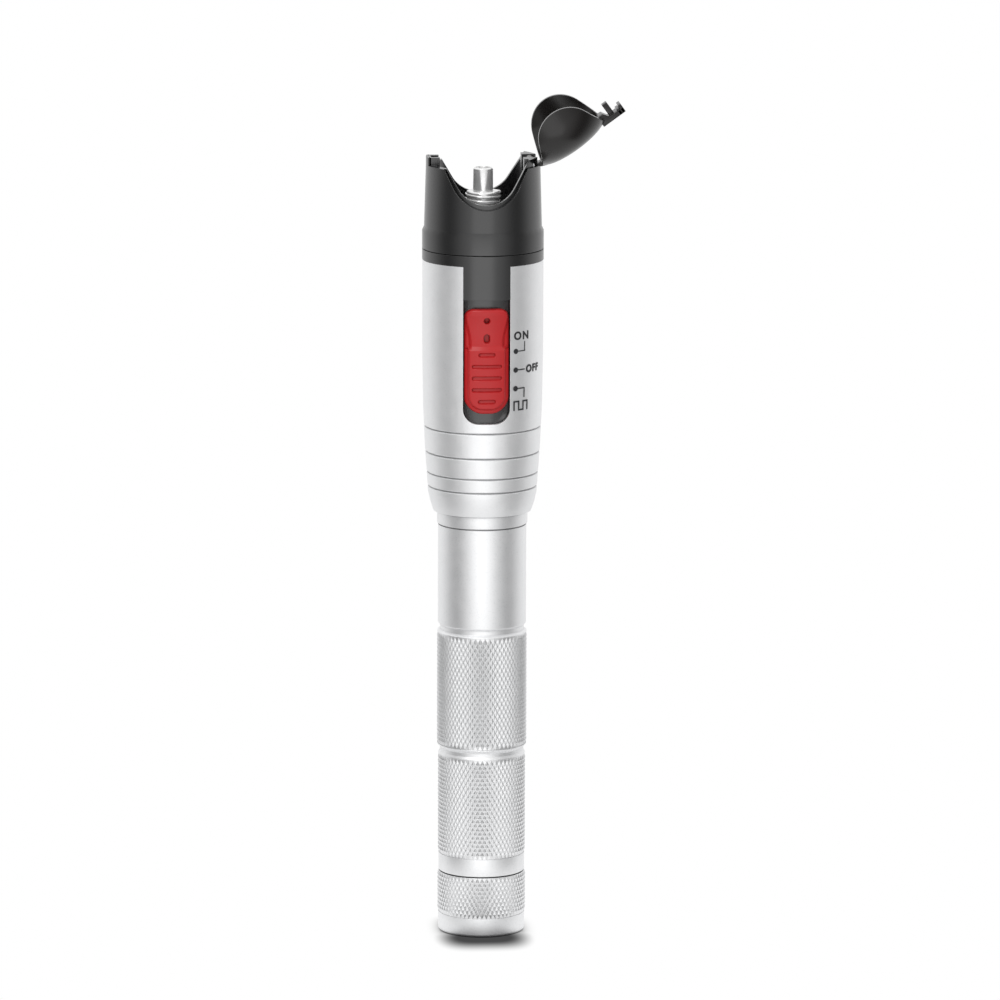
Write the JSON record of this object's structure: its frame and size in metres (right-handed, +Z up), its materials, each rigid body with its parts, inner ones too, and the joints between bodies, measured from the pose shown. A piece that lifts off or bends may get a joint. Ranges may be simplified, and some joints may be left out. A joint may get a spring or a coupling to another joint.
{
  "type": "visual fault locator",
  "caption": "Pen-shaped red-light fibre fault locator: knurled battery barrel, tapered head with slide switch, ferrule port in a U-cut nose under a hinged dust cap.",
  "frame": {"origin": "centre of the flat tail face that the locator stands on", "axes": "+Z up the barrel's axis towards the ferrule port; -Y is the side of the slide switch; +X is the side of the dust cap's hinge"},
  "size_m": [0.043, 0.0261, 0.18],
  "materials": {
    "silver_metal": "bead-blasted, clear anodised",
    "black_plastic": "satin black moulding",
    "red_plastic": "satin red moulding",
    "nickel": "bright nickel plate",
    "white_ceramic": "ground white ceramic",
    "steel": "plain steel",
    "brass": "turned brass",
    "glass": "clear lens glass",
    "board": "green circuit board",
    "dark_plastic": "black moulding",
    "rubber": "black nitrile",
    "cell": "plain cell sleeve"
  },
  "bodies": {
    "main": {"head_shell": "silver_metal", "nose_housing": "black_plastic", "inner_chassis": "black_plastic", "hinge_pin": "steel", "connector_body": "nickel", "connector_nut": "nickel", "ferrule_tube": "nickel", "ferrule_sleeve": "white_ceramic", "laser_housing": "brass", "laser_diode": "brass", "diode_leads": "brass", "lens": "glass", "lens_ring": "brass", "circuit_board": "board", "driver_chip": "dark_plastic", "slide_switch_case": "steel", "front_contact_board": "board", "contact_insulator": "dark_plastic", "front_contact": "brass", "barrel": "silver_metal", "barrel_o_ring": "rubber", "tail_o_ring": "rubber", "cell_rear": "cell", "cell_front": "cell"},
    "dust_cap": {"dust_cap": "black_plastic"},
    "slider": {"slider_knob": "red_plastic", "switch_lever": "dark_plastic"},
    "tail_contact": {"tail_contact_plate": "brass", "tail_spring": "steel"},
    "tail_cap": {"tail_cap": "silver_metal"}
  },
  "joints": [
    {"name": "cap_hinge", "type": "hinge", "parent": "main", "child": "dust_cap", "pos_m": [0.0099, 0, 0.1664], "axis": [0, 1, 0], "range_deg": [-144, 0]},
    {"name": "switch_slide", "type": "slide", "parent": "main", "child": "slider", "axis": [0, 0, 1], "range_m": [-0.0017, 0.0017]},
    {"name": "tail_screw_travel", "type": "slide", "parent": "main", "child": "tail_contact", "axis": [0, 0, -1], "range_m": [0, 0.0061]},
    {"name": "tail_screw_turn", "type": "hinge", "parent": "tail_contact", "child": "tail_cap", "pos_m": [0, 0, 0], "axis": [0, 0, -1], "range_deg": [0, 2160]}
  ],
  "couplings": [
    {"joint": "tail_screw_travel", "follows": "tail_screw_turn", "m_per_rad": 0.00015915}
  ]
}
